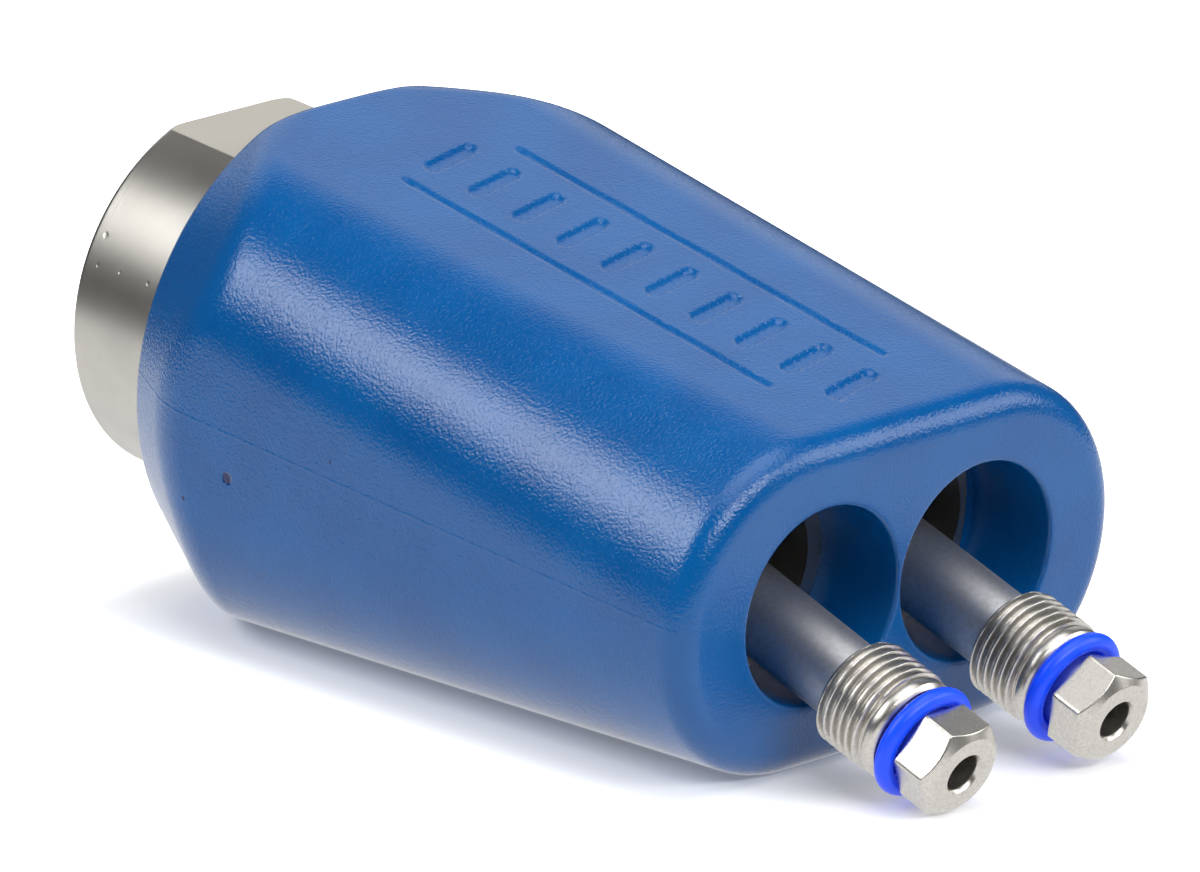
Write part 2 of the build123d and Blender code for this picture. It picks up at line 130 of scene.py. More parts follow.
class Value:
    """A socket with the arithmetic of shader maths: each operator adds one Math node."""

    def __init__(self, finish, socket):
        self.finish = finish
        self.socket = socket

    def math(self, operation, *others):
        """One Math node on this value and the others."""
        return self.finish.node("ShaderNodeMath", {"operation": operation}, self, *others)

    def __add__(self, other):
        return self.math("ADD", other)

    __radd__ = __add__

    def __mul__(self, other):
        return self.math("MULTIPLY", other)

    __rmul__ = __mul__

    def __sub__(self, other):
        return self.math("SUBTRACT", other)

    def __rsub__(self, other):
        return self.math("MULTIPLY", -1.0).math("ADD", other)

    def __abs__(self):
        return self.math("ABSOLUTE")

    def smooth(self, low, high):
        """0 at low, 1 at high, with an even start and end between them."""
        settings = {"interpolation_type": "SMOOTHSTEP"}
        return self.finish.node("ShaderNodeMapRange", settings, self, low, high)


class Finish:
    """A node material with one Principled shader, built from expressions."""

    def __init__(self, name):
        self.material = bpy.data.materials.new(name)
        self.material.use_nodes = True
        self.tree = self.material.node_tree
        self.shader = self.tree.nodes["Principled BSDF"]
        place = self.tree.nodes.new("ShaderNodeTexCoord")
        self.place = Value(self, place.outputs["Object"])

    def node(self, kind, settings, *values, output=0, **named):
        """Any node: its type, its settings, then the values or links of its sockets in order or by name."""
        made = self.tree.nodes.new(kind)
        for key, setting in settings.items():
            setattr(made, key, setting)
        for key, given in [*enumerate(values), *named.items()]:
            socket = made.inputs[key if isinstance(key, int) else key.replace("_", " ")]
            self.feed(socket, given)
        return Value(self, made.outputs[output])

    def feed(self, socket, given):
        """Links a value to a socket, or sets the socket to a number or colour."""
        if isinstance(given, Value):
            self.tree.links.new(given.socket, socket)
        elif given is not None:
            socket.default_value = given

    def vector(self, operation, *values):
        """One Vector Math node, whose result is a vector."""
        return self.node("ShaderNodeVectorMath", {"operation": operation}, *values)

    def measure(self, operation, *values):
        """One Vector Math node, whose result is a number: a length, distance or dot product."""
        return self.node("ShaderNodeVectorMath", {"operation": operation}, *values, output="Value")

    def tool_axes(self):
        """The place in the tool frame, in millimetres: x, d and h as three values."""
        offset = self.vector("SUBTRACT", self.place, tuple(FRONT))
        return [self.measure("DOT_PRODUCT", offset, tuple(axis / MM)) for axis in (RIGHT, BACK, UP)]

    def point(self, x, y, z):
        """Three values as one vector."""
        return self.node("ShaderNodeCombineXYZ", {}, x, y, z)

    def noise(self, where, scale, detail=2.0, roughness=0.5):
        """Noise from 0 to 1, with its middle at a half."""
        named = {"Vector": where, "Scale": scale, "Detail": detail, "Roughness": roughness}
        return self.node("ShaderNodeTexNoise", {}, **named)

    def blend(self, factor, low, high):
        """Colour between low and high by a factor. A Mix node has five sockets between those that it uses."""
        unused = [None] * 5
        return self.node("ShaderNodeMix", {"data_type": "RGBA"}, factor, *unused, low, high, output=2)

    def bump(self, height, distance):
        """Normal of a surface raised by a height from 0 to 1 times a distance in millimetres."""
        return self.node("ShaderNodeBump", {}, Strength=1.0, Distance=distance * MM, Height=height)

    def set(self, **sockets):
        """Sets or links the shader's own sockets."""
        for key, given in sockets.items():
            self.feed(self.shader.inputs[key.replace("_", " ")], given)
        return self.material


def colour(red, green, blue):
    """An sRGB colour of 0 to 255 as the shader's linear colour."""
    scaled = np.array([red, green, blue]) / 255
    linear = np.where(scaled <= 0.04045, scaled / 12.92, ((scaled + 0.055) / 1.055) ** 2.4)
    return (*linear, 1.0)


def darker(tint, share):
    """A linear colour at a share of its brightness."""
    return (*(part * share for part in tint[:3]), 1.0)


WHITE = (1.0, 1.0, 1.0, 1.0)

# The sleeve's surface: colours, roughness, noise scales per millimetre and sizes in millimetres
BLUE_DEEP = colour(0, 84, 152)
BLUE_LIGHT = colour(2, 91, 160)
# Painted shade: the dark colour of the pinholes and specks stands for the shade inside them
PIT_SHADE_BLUE = colour(0, 26, 84)
GLOSS_ROUGHNESS = 0.1
MOTTLE_SCALE = 0.07
PEEL_SCALE = 2.3
PEEL_DEPTH = 0.09
FINE_SCALE = 4.0
SPECK_SCALE = 0.11
PARTING_HEIGHT = 1.6
SEAM_WIDTH = 0.35
SEAM_START = (33.0, 35.0)

# Pinholes of the sleeve and nicks of the steel body: places in the tool frame with radii, in millimetres
PINHOLES = [
    ((-41.7, 86.5, -4.6), 1.05),
    ((-41.7, 94.6, -10.1), 0.35),
    ((-41.5, 88.3, -17.9), 0.3),
    ((-41.8, 102.9, -13.8), 0.28),
    ((-41.5, 67.2, 4.2), 0.25),
    ((-41.6, 100.0, -16.3), 0.28),
]

NICKS = [
    ((-24.0, 131.5, 12.3), 0.6),
    ((-25.6, 131.0, 8.4), 0.4),
    ((-25.5, 126.7, 8.7), 0.35),
    ((-25.5, 121.1, 8.9), 0.45),
]
NICK_DEPTH = 0.035

# The steel body's surface
TURNING_SCALE = 3.0
TURNING_DEPTH = 0.02
WRENCH_FLAT_HALF = 24.6
MILLED_STEEL = colour(226, 222, 212)

# The O rings' painted glow: they shine a little by themselves, though they are no lamp
PAINTED_GLOW_TINT = (0.0, 0.02, 1.0, 1.0)
PAINTED_GLOW_STRENGTH = 0.2


def polyurethane():
    """Blue cast polyurethane: gloss with orange peel, a moulding line, pinholes and specks, with painted
    shade in the pinholes and specks.
    """
    f = Finish("blue_polyurethane")
    x, d, h = f.tool_axes()
    where = f.point(x, d, h)
    mottle = f.noise(where, MOTTLE_SCALE, 3.0)
    base = f.blend(mottle.smooth(0.3, 0.7), BLUE_DEEP, BLUE_LIGHT)
    peel = f.noise(where, PEEL_SCALE)
    fine = f.noise(where, FINE_SCALE, 2.0, 0.6)
    seam = 1.0 - abs(h - PARTING_HEIGHT).smooth(0.0, SEAM_WIDTH)
    line = seam * abs(x).smooth(*SEAM_START)
    specks = f.node("ShaderNodeTexVoronoi", {}, Vector=where, Scale=SPECK_SCALE, output="Distance")
    # The pinholes and specks are pressed in by the bump and painted dark, as painted shade in them
    pits_and_shade = (1.0 - specks.smooth(0.012, 0.022)) * 0.7
    for centre, radius in PINHOLES:
        away = f.measure("DISTANCE", where, centre)
        pits_and_shade = pits_and_shade.math("MAXIMUM", 1.0 - away.smooth(radius * 0.6, radius))
    return f.set(
        Base_Color=f.blend(pits_and_shade, base, PIT_SHADE_BLUE),
        Roughness=fine.smooth(0.2, 0.8) * 0.04 + GLOSS_ROUGHNESS,
        Normal=f.bump(peel + fine * 0.25 + line * 0.3 - pits_and_shade * 1.5, PEEL_DEPTH),
        IOR=1.5,
    )


def turned_steel(name, tint, roughness, nicks):
    """Machined stainless steel: turning marks round the tool axis, soft stains, milled flats and nicks."""
    f = Finish(name)
    x, d, h = f.tool_axes()
    ring = (x * x + h * h).math("SQRT")
    rings = f.noise(f.point(d, ring, 0.0), TURNING_SCALE, 3.0, 0.7)
    streak = f.noise(f.point(x * 0.15, d * 6.0, h * 0.15), 1.0, 2.0, 0.6)
    stain = f.noise(f.point(x, d, h), 0.09, 4.0, 0.6)
    base = f.blend(stain.smooth(0.3, 0.75) * 0.6 + streak * 0.3, tint, darker(tint, 0.86))
    height = rings * TURNING_DEPTH
    for centre, radius in nicks:
        away = f.measure("DISTANCE", f.point(x, d, h), centre)
        height = height - (1.0 - away.smooth(radius * 0.2, radius)) * NICK_DEPTH
    flat = WRENCH_FLAT_HALF
    milled = abs(h).smooth(flat - 0.15, flat - 0.05) * abs(h).smooth(flat + 0.1, flat + 0.05)
    base = f.blend(milled, base, MILLED_STEEL)
    return f.set(
        Base_Color=base,
        Metallic=1.0,
        Roughness=(stain - 0.5) * 0.12 + (streak - 0.5) * 0.08 + milled * 0.2 + roughness,
        Normal=f.bump(height, 1.0),
    )


def plain_finish(name, tint, metallic, roughness, grain, depth):
    """A finish with one grain: its colour, roughness and bump vary with the same noise."""
    f = Finish(name)
    x, d, h = f.tool_axes()
    noise = f.noise(f.point(x, d, h), grain, 3.0, 0.6)
    return f.set(
        Base_Color=f.blend(noise.smooth(0.35, 0.75), tint, darker(tint, 0.8)),
        Metallic=metallic,
        Roughness=(noise - 0.5) * 0.15 + roughness,
        Normal=f.bump(noise, depth),
    )


def o_ring_rubber():
    """Bright blue rubber with a painted glow: it shines a little by itself, though it is no lamp."""
    rubber = plain_finish("blue_seal_rubber", colour(0, 80, 255), 0.0, 0.4, 0.8, 0.01)
    shader = rubber.node_tree.nodes["Principled BSDF"]
    # Painted glow of the rubber
    shader.inputs["Emission Color"].default_value = PAINTED_GLOW_TINT
    shader.inputs["Emission Strength"].default_value = PAINTED_GLOW_STRENGTH
    return rubber


finishes = {
    "shroud": polyurethane(),
    "steel_body": turned_steel("satin_stainless", colour(196, 193, 187), 0.33, NICKS),
    "inlet_bushing": turned_steel("bushing_stainless", colour(186, 184, 180), 0.32, []),
    "swirl_plate": turned_steel("plate_stainless", colour(176, 175, 172), 0.36, []),
    "spring_washer": plain_finish("spring_steel", colour(150, 150, 152), 1.0, 0.35, 2.0, 0.01),
    "port_plate": plain_finish("lapped_steel", colour(128, 128, 132), 1.0, 0.22, 1.0, 0.003),
    "plate_dowels": plain_finish("dowel_steel", colour(185, 185, 185), 1.0, 0.25, 2.0, 0.004),
    "rotor_pin": plain_finish("pin_steel", colour(185, 185, 185), 1.0, 0.22, 2.0, 0.004),
    "rotor": plain_finish("rotor_steel", colour(172, 170, 166), 1.0, 0.34, 1.5, 0.01),
    "rotor_bush": plain_finish("bearing_bronze", colour(190, 140, 80), 1.0, 0.35, 1.5, 0.01),
    "seal": plain_finish("black_seal_rubber", colour(24, 24, 25), 0.0, 0.55, 2.0, 0.01),
    "nozzle": plain_finish("nozzle_stainless", colour(208, 204, 197), 1.0, 0.3, 2.2, 0.0006),
    "stem": plain_finish("stem_steel", colour(214, 213, 212), 1.0, 0.47, 1.2, 0.001),
    "orifice": plain_finish("hard_metal", colour(92, 92, 96), 1.0, 0.4, 3.0, 0.01),
    "straightener": plain_finish("vane_steel", colour(150, 150, 150), 1.0, 0.35, 2.0, 0.01),
    "o_ring": o_ring_rubber(),
}


# Surfaces on grids


def woven(rows, columns, wrap, start):
    """Quads of a grid of points: each joins a point, the next in its row, and the two of the row behind."""
    i = np.arange(rows - 1)[:, None]
    j = np.arange(columns if wrap else columns - 1)[None, :]
    k = (j + 1) % columns
    quads = np.stack([i * columns + j, i * columns + k, (i + 1) * columns + k, (i + 1) * columns + j], -1)
    return quads.reshape(-1, 4) + start


def surface(name, grids, material, sharp):
    """One closed mesh from grids (rows, columns, 3), merged where they meet.

    Each grid comes with whether its rows close on themselves. Edges over an angle in degrees stay sharp.
    """
    points, faces, count = [], [], 0
    for grid, wrap in grids:
        rows, columns = grid.shape[:2]
        points.append(grid.reshape(-1, 3))
        faces.append(woven(rows, columns, wrap, count))
        count += rows * columns
    mesh = bpy.data.meshes.new(name)
    mesh.from_pydata(np.concatenate(points).tolist(), [], np.concatenate(faces).tolist())
    work = bmesh.new()
    work.from_mesh(mesh)
    bmesh.ops.remove_doubles(work, verts=work.verts, dist=2e-6)
    bmesh.ops.dissolve_degenerate(work, edges=work.edges, dist=1e-7)
    bmesh.ops.recalc_face_normals(work, faces=work.faces)
    work.to_mesh(mesh)
    work.free()
    mesh.materials.append(material)
    mesh.set_sharp_from_angle(angle=math.radians(sharp))
    piece = bpy.data.objects.new(name, mesh)
    bpy.context.scene.collection.objects.link(piece)
    return piece


def soft_min(a, b, width):
    """The smaller of two values, rounded where they are within a width of each other."""
    near = np.clip(width - np.abs(a - b), 0, None) / width
    return np.minimum(a, b) - near * near * width / 4


# The sleeve's grid: steps of a half section and of the line between the bores, and rows along the axis
FLAT_STEPS = 48
CORNER_STEPS = 36
SIDE_STEPS = 12
LOWER_STEPS = 8
CENTRE_STEPS = 24
MARK_STEP = 0.42
REAR_ROWS_START = 97.0


def half_outline(half_width, half_height, corner):
    """Right half of a section, from the middle of the top flat over the side to the middle of the lower flat.

    A rectangle with round corners: a flat, a quarter circle, the flat side, a quarter circle and a flat.
    Returns the points and the outward normals.
    """
    flat, lift = half_width - corner, half_height - corner
    top = np.linspace(0, flat, FLAT_STEPS + 1)[:-1]
    upper = np.linspace(math.pi / 2, 0, CORNER_STEPS + 1)
    side = np.linspace(lift, -lift, SIDE_STEPS + 1)[1:-1]
    lower = np.linspace(0, -math.pi / 2, CORNER_STEPS + 1)[:-1]
    bottom = np.linspace(flat, 0, LOWER_STEPS + 1)
    points = np.concatenate([
        np.stack([top, np.full_like(top, half_height)], -1),
        np.stack([flat + corner * np.cos(upper), lift + corner * np.sin(upper)], -1),
        np.stack([np.full_like(side, half_width), side], -1),
        np.stack([flat + corner * np.cos(lower), -lift + corner * np.sin(lower)], -1),
        np.stack([bottom, np.full_like(bottom, -half_height)], -1),
    ])
    angles = np.concatenate([
        np.full_like(top, math.pi / 2), upper, 0 * side, lower, np.full_like(bottom, -math.pi / 2)
    ])
    return points, np.stack([np.cos(angles), np.sin(angles)], -1)


def full_ring(right, left):
    """A half section and the mirror image of another as one closed ring, for any leading rows."""
    mirrored = left[..., -2:0:-1, :] * np.array([-1.0, 1.0])
    return np.concatenate([right, mirrored], -2)


def polar_limit(direction, radius, flat_half):
    """Points of a round outline cut by flats above and below, along the given directions."""
    unit = direction / np.linalg.norm(direction, axis=-1, keepdims=True)
    cut = flat_half / np.maximum(np.abs(unit[..., 1:]), 1e-6)
    return unit * np.minimum(radius, cut)


def lift_rows(rings, depth):
    """Rings (rows, columns, 2) at depths (rows) or (rows, columns) as points of the model."""
    depth = np.asarray(depth, float)
    if depth.ndim == 1:
        depth = depth[:, None]
    return tool(rings[..., 0], depth, rings[..., 1])


# Plain marks pressed into the top flat: slanted bars between two long grooves
BAR_COUNT = 10
BAR_FIRST = 12.0
BAR_PITCH = 8.7
BAR_HALF_LENGTH = 5.4
BAR_HALF_WIDTH = 1.15
BAR_SLANT = 0.22
BAR_DEPTH = 0.5
GROOVE_SIDE = 10.6
GROOVE_SPAN = (17.0, 88.0)
GROOVE_HALF_WIDTH = 0.45
GROOVE_DEPTH = 0.35
MARK_EDGE = 0.45


def top_marks(x, d):
    """Depth of the marks at a place of the top flat.

    A mark is all within a half width of a short line. Its depth follows the distance to its edge, evened.
    """
    nearest = np.clip(np.round((d - BAR_FIRST - BAR_SLANT * x) / BAR_PITCH), 0, BAR_COUNT - 1)
    across = (d - BAR_SLANT * x - BAR_FIRST - nearest * BAR_PITCH) * math.cos(math.atan(BAR_SLANT))
    beyond = np.maximum(np.abs(x) - (BAR_HALF_LENGTH - BAR_HALF_WIDTH), 0)
    bar = BAR_HALF_WIDTH - np.hypot(across, beyond)
    past = np.maximum(np.maximum(GROOVE_SPAN[0] - d, d - GROOVE_SPAN[1]), 0)
    groove = GROOVE_HALF_WIDTH - np.hypot(np.abs(x) - GROOVE_SIDE, past)

    def pressed(inside, depth):
        """A mark's depth by how far a place is inside its edge."""
        share = np.clip(inside / MARK_EDGE + 0.5, 0, 1)
        return depth * share * share * (3 - 2 * share)

    return np.maximum(pressed(bar, BAR_DEPTH), pressed(groove, GROOVE_DEPTH))


def port_rings(boundary, sign):
    """Rows from a bore's wall over its rounded lip to the face's boundary, along rays from the bore's axis.

    The lip is a quarter circle. Where the boundary is close it ends early, to leave the least width of face.
    The right bore is worked out, and the sign mirrors it. Returns the rings, their depths and the rays.
    """
    centre = np.array([PORT_OFFSET, 0.0])
    away = boundary - centre
    reach = np.linalg.norm(away, axis=-1)
    ray = away / reach[:, None]
    lip_end = np.minimum(BORE_RADIUS + BORE_LIP, reach - LEAST_FACE)
    last = np.arccos((BORE_RADIUS + BORE_LIP - lip_end) / BORE_LIP)
    turn = np.linspace(0, 1, 6)[:, None] * last
    lip = BORE_RADIUS + BORE_LIP * (1 - np.cos(turn))
    lip_depth = BORE_LIP * (1 - np.sin(turn))
    share = np.linspace(0, 1, 9)[1:, None]
    flat = lip_end + (reach - lip_end) * share
    flat_depth = np.broadcast_to(lip_depth[-1], flat.shape)
    radii = np.concatenate([lip, flat])
    rings = centre + radii[..., None] * ray
    return rings * np.array([sign, 1.0]), np.concatenate([lip_depth, flat_depth]), ray


def sleeve():
    """The sleeve as one closed surface.

    Its outside is ruled between the front and rear outlines, limited by the rear cone, rounded at both ends.
    The front face runs along rays from each bore to the outline and to the middle line. Each bore ends in the
    wall in front of the cavity, whose rows follow the steel body back to the rear rim.
    """
    front, normal = half_outline(*FRONT_HALF)
    rear, _ = half_outline(*REAR_HALF)

    def section(depth):
        """Sections at the given depths, with the marks and the rear cone."""
        depth = np.asarray(depth, float)[:, None, None]
        ruled = front + (rear - front) * depth / SLEEVE_LENGTH
        slope = (REAR_HALF[0] - REAR_RIM) / CONE_LENGTH
        cone = REAR_RIM + (SLEEVE_LENGTH - depth[..., 0]) * slope
        halves = []
        for sign in (1.0, -1.0):
            marks = top_marks(sign * ruled[..., 0], depth[..., 0]) * (normal[:, 1] > 0.999)
            cut = ruled - normal * marks[..., None]
            radius = np.linalg.norm(cut, axis=-1)
            halves.append(cut * (soft_min(radius, cone, CONE_BLEND) / radius)[..., None])
        return full_ring(*halves)

    ring_normal = full_ring(normal, normal)
    turn = np.linspace(0, math.pi / 2, 9)
    edge_depth = FRONT_ROUND * (1 - np.cos(turn))
    edge_rings = section(edge_depth) - ring_normal * (FRONT_ROUND * (1 - np.sin(turn)))[:, None, None]
    side_depth = np.concatenate([
        np.linspace(FRONT_ROUND, 10, 8)[1:],
        np.arange(10.4, REAR_ROWS_START, MARK_STEP),
        np.linspace(REAR_ROWS_START, SLEEVE_LENGTH - RIM_ROUND, 34)[1:],
    ])
    side_rings = section(side_depth)
    rim_turn = np.linspace(0, math.pi / 2, 7)[1:]
    rim_depth = SLEEVE_LENGTH - RIM_ROUND * (1 - np.sin(rim_turn))
    rim_rings = section(rim_depth)
    rim_radius = np.linalg.norm(rim_rings, axis=-1, keepdims=True)
    inset = RIM_ROUND * (1 - np.cos(rim_turn))[:, None, None]
    rim_rings = rim_rings * (1 - inset / rim_radius)

    direction = section([SLEEVE_LENGTH])[0]
    stations = [
        (SLEEVE_LENGTH, REAR_FLAT_HALF),
        (REAR_FLAT_START, REAR_FLAT_HALF),
        (REAR_FLAT_START, BODY_RADIUS),
        (FRONT_FLAT_END, BODY_RADIUS),
        (FRONT_FLAT_END, FRONT_FLAT_HALF),
        (BORE_DEPTH, FRONT_FLAT_HALF),
    ]
    cavity_depth = np.array([s[0] for s in stations])
    cavity = np.stack([
        polar_limit(direction, BODY_RADIUS + SEAT_GAP, flat + SEAT_GAP) for _, flat in stations
    ])
    outer_edge = rim_rings[-1]
    annulus = outer_edge + (cavity[0] - outer_edge) * np.linspace(0, 1, 5)[1:, None, None]
    rings = np.concatenate([edge_rings, side_rings, rim_rings, annulus, cavity[1:]])
    depth = np.concatenate([
        edge_depth, side_depth, rim_depth, np.full(len(annulus), SLEEVE_LENGTH), cavity_depth[1:]
    ])
    grids = [(lift_rows(rings, depth), True)]

    count = len(front)
    front_edge, cavity_edge = edge_rings[0][:count], cavity[-1][:count]
    fraction = np.linspace(0, 1, CENTRE_STEPS + 1)[1:-1, None]
    front_middle = front_edge[-1] + (front_edge[0] - front_edge[-1]) * fraction
    cavity_middle = cavity_edge[-1] + (cavity_edge[0] - cavity_edge[-1]) * fraction
    boundary = np.concatenate([front_edge, front_middle])
    back_boundary = np.concatenate([cavity_edge, cavity_middle])
    for sign in (1.0, -1.0):
        face, face_depth, ray = port_rings(boundary, sign)
        wall_depth = np.linspace(BORE_LIP, BORE_DEPTH, 9)
        circle = (np.array([PORT_OFFSET, 0.0]) + BORE_RADIUS * ray) * np.array([sign, 1.0])
        wall = np.broadcast_to(circle, (len(wall_depth), *circle.shape))
        back = circle + (back_boundary * np.array([sign, 1.0]) - circle) * np.linspace(0, 1, 4)[:, None, None]
        grids.append((lift_rows(face, face_depth), True))
        grids.append((lift_rows(wall, wall_depth), True))
        grids.append((lift_rows(back, np.full(len(back), BORE_DEPTH)), True))
    piece = surface("sleeve", grids, finishes["shroud"], 40)
    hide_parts("shroud")
    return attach(piece, "head")


# The nozzles' grid, the sharpness of the hexagon, and the thread's shares of the wave at its root and flank
NOZZLE_COLUMNS = 216
THREAD_ROWS = 190
HEX_POWER = 70
THREAD_LOW = 0.1
THREAD_FLANK = 0.74


def nozzle_frame(side):
    """Middle of a nozzle's neck with its axes: across, steep and forwards.

    The stem bears on the lower lip of the port at one end and on the port's roof at the other.
    """
    bearing = PORT_CORE - BEARING_GAP[side]
    length = math.hypot(STEM_HOLD, 2 * STEM_RADIUS)
    slope = math.atan2(STEM_HOLD, 2 * STEM_RADIUS) - math.acos(2 * bearing / length)
    turn = math.radians(YAW[side])
    level = -BACK * math.cos(turn) + RIGHT * math.sin(turn)
    forward = level * math.cos(slope) - UP * math.sin(slope)
    rise = level * math.sin(slope) + UP * math.cos(slope)
    offset = PORT_OFFSET if side == "right" else -PORT_OFFSET
    lip = tool(offset, PORT_MOUTH, -bearing)
    centre = lip + MM * (rise * STEM_RADIUS + forward * (STEM_END - STEM_HOLD))
    flat = np.cross(forward, UP)
    flat /= np.linalg.norm(flat)
    steep = np.cross(flat, forward)
    spin = math.radians(SPIN[side])
    across = flat * math.cos(spin) + steep * math.sin(spin)
    return centre, across, np.cross(forward, across), forward


def nozzle(side):
    """A nozzle as one closed surface round its axis: radius by angle and by place along the axis.

    The hexagon's radius is its half width over the largest cosine to a flat, softened with a high power, or
    that of the chamfer's cone where it is smaller. The thread's radius follows a triangle wave of the place
    along the axis over the pitch plus the angle as a share of a turn. The wave is clipped, evened, faded in
    behind the collar and cut by a cone at the thread's end.
    """
    columns = NOZZLE_COLUMNS
    angle = np.linspace(0, 2 * math.pi, columns, endpoint=False)

    def round_rows(*points):
        """Round rows from pairs of a place along the axis and a radius."""
        points = np.array(points)
        return np.repeat(points[:, :1], columns, 1), np.repeat(points[:, 1:], columns, 1)

    flats = angle[:, None] - (np.arange(6) * math.pi / 3 + math.pi / 6)
    hexagon = HEX_HALF / (np.clip(np.cos(flats), 0, 1) ** HEX_POWER).sum(1) ** (1 / HEX_POWER)

    def hex_rows(t, inset=0.0):
        """Rows of the hexagon at places along the axis, set in by an amount."""
        t = np.atleast_1d(t)[:, None]
        cone = HEX_FACE + (HEX_FRONT - t) / HEX_CHAMFER
        return np.repeat(t, columns, 1), soft_min(hexagon[None, :] - inset, cone, 0.12)

    corner = hexagon.max()
    chamfer_rows = HEX_FRONT - np.linspace(0.02, (corner - HEX_FACE) * HEX_CHAMFER + 0.15, 22)
    side_rows = np.linspace(chamfer_rows[-1], HEX_BACK + 0.15, 8)[1:]
    t_thread = np.linspace(COLLAR_BACK - 0.05, THREAD_END, THREAD_ROWS)[:, None]
    turns = angle[None, :] / (2 * math.pi) + THREAD_PHASE
    wave = ((COLLAR_BACK - t_thread) / THREAD_PITCH + turns) % 1.0
    triangle = 1 - np.abs(2 * wave - 1)
    share = np.clip((triangle - THREAD_LOW) / THREAD_FLANK, 0, 1)
    share = share * share * (3 - 2 * share)
    fade_in = np.clip((COLLAR_BACK - t_thread) / THREAD_FADE, 0, 1)
    crest = THREAD_ROOT + (THREAD_CREST - THREAD_ROOT) * share * fade_in
    lead = THREAD_TIP + (t_thread - THREAD_END) * THREAD_LEAD
    thread = soft_min(crest, lead, 0.15)
    rows = [
        round_rows(
            (INSERT_SEAT, JET_RADIUS),
            (HEX_FRONT - 1.2, JET_RADIUS),
            (HEX_FRONT - 0.68, JET_RADIUS),
            (HEX_FRONT - 0.58, JET_RADIUS + 0.03),
            (HEX_FRONT - 0.4, JET_RADIUS + 0.14),
            (HEX_FRONT - 0.1, JET_MOUTH - 0.08),
            (HEX_FRONT - 0.03, JET_MOUTH - 0.02),
            (HEX_FRONT, JET_MOUTH + 0.06),
            (HEX_FRONT, JET_MOUTH + 1.1),
            (HEX_FRONT, HEX_FACE - 0.12),
            (HEX_FRONT - 0.01, HEX_FACE - 0.02),
        ),
        hex_rows(chamfer_rows),
        hex_rows(side_rows),
        hex_rows(HEX_BACK + 0.06, 0.03),
        hex_rows(HEX_BACK, 0.12),
        round_rows(
            (HEX_BACK, NECK + 0.1),
            (HEX_BACK - 0.1, NECK),
            (COLLAR_FRONT + 0.1, NECK),
            (COLLAR_FRONT, NECK + 0.1),
            (COLLAR_FRONT, COLLAR - COLLAR_EDGE - 0.04),
            (COLLAR_FRONT - 0.04, COLLAR - COLLAR_EDGE),
            (COLLAR_FRONT - COLLAR_EDGE + 0.06, COLLAR - 0.06),
            (COLLAR_FRONT - COLLAR_EDGE - 0.08, COLLAR),
            (COLLAR_BACK + 0.5, COLLAR),
            (COLLAR_BACK + 0.2, COLLAR - 0.06),
            (COLLAR_BACK, COLLAR - 0.35),
        ),
        (np.repeat(t_thread, columns, 1), thread),
        round_rows(
            (THREAD_END - 0.02, THREAD_ROOT - 0.75),
            (THREAD_END - 0.02, SOCKET_RADIUS),
            (SOCKET_FRONT, SOCKET_RADIUS),
            (SOCKET_FRONT, INSERT_RADIUS),
            (INSERT_SEAT, INSERT_RADIUS),
            (INSERT_SEAT, JET_RADIUS),
        ),
    ]
    t = np.concatenate([row[0] for row in rows])
    radius = np.concatenate([row[1] for row in rows])
    centre, across, steep, forward = nozzle_frame(side)
    grid = centre + MM * (
        t[..., None] * forward
        + (radius * np.cos(angle))[..., None] * across
        + (radius * np.sin(angle))[..., None] * steep
    )
    piece = surface(f"{side}_jet_nozzle", [(grid, True)], finishes["nozzle"], 32)
    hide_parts(f"{side}_nozzle")
    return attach(piece, "head")


# The frame's own solids and the inlet's thread


def dress_solids():
    """Every node of the frame gets its finish and smooth shading, split at edges of more than 18 degrees."""
    for name, solid in nodes.items():
        key = name.removeprefix("left_").removeprefix("right_")
        if key.endswith("seal"):
            key = "seal"
        solid.data.materials.clear()
        solid.data.materials.append(finishes[key])
        solid.data.polygons.foreach_set("use_smooth", [True] * len(solid.data.polygons))
        weld = solid.modifiers.new("weld", "WELD")
        weld.merge_threshold = 1e-6
        split = solid.modifiers.new("edges", "EDGE_SPLIT")
        split.split_angle = math.radians(18)
        split.use_edge_sharp = False


def inlet_thread():
    """Ridge of the pipe thread in the inlet: a blunt triangle carried along a helix, with pointed ends."""
    turn = np.linspace(0, INLET_TURNS * 2 * math.pi, INLET_TURNS * 72 + 1)
    fade = np.clip(np.minimum(turn, turn[-1] - turn) / math.pi, 0.02, 1)[:, None]
    profile = np.array([[0.62, 0.0], [0.12, 1.0], [-0.12, 1.0], [-0.62, 0.0]])
    depth = INLET_FIRST - INLET_PITCH * turn[:, None] / (2 * math.pi) + profile[:, 0] * fade
    radius = INLET_ROOT - (INLET_ROOT - INLET_CREST) * profile[:, 1] * fade
    grid = tool(radius * np.cos(turn)[:, None], depth, radius * np.sin(turn)[:, None])
    caps = [(np.stack([grid[k][[0, 1]], grid[k][[3, 2]]]), False) for k in (0, -1)]
    piece = surface("inlet_thread_ridge", [(grid, True), *caps], finishes["inlet_bushing"], 40)
    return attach(piece, "head")


dress_solids()
sleeve()
for port_side in ("left", "right"):
    nozzle(port_side)
inlet_thread()


# Studio
CAMERA_AZIMUTH = -45.593
CAMERA_ELEVATION = 21.196
CAMERA_ROLL = 4.540
CAMERA_DISTANCE = 2379.3
CAMERA_AIM = (-39.917, 19.726)
CAMERA_LENS = 537.3

# The floor: a white sheet with an edge, darker where metal mirrors it, and its glow by the head's footprint
FLOOR_ALBEDO = 0.85
SHEET_EDGE = (0.19, 0.30)
FAR_ALBEDO = 0.08
MIRRORED_ALBEDO = 0.25
MIRRORED_GLOW = 0.85
FLOOR_GLOW = 0.18
FOOTPRINT_MIDDLE = (0.0, -0.010, 0.0)
FOOTPRINT_HALF = (0.036, 0.072, 1.0)
SHADOW_REACH = 0.016

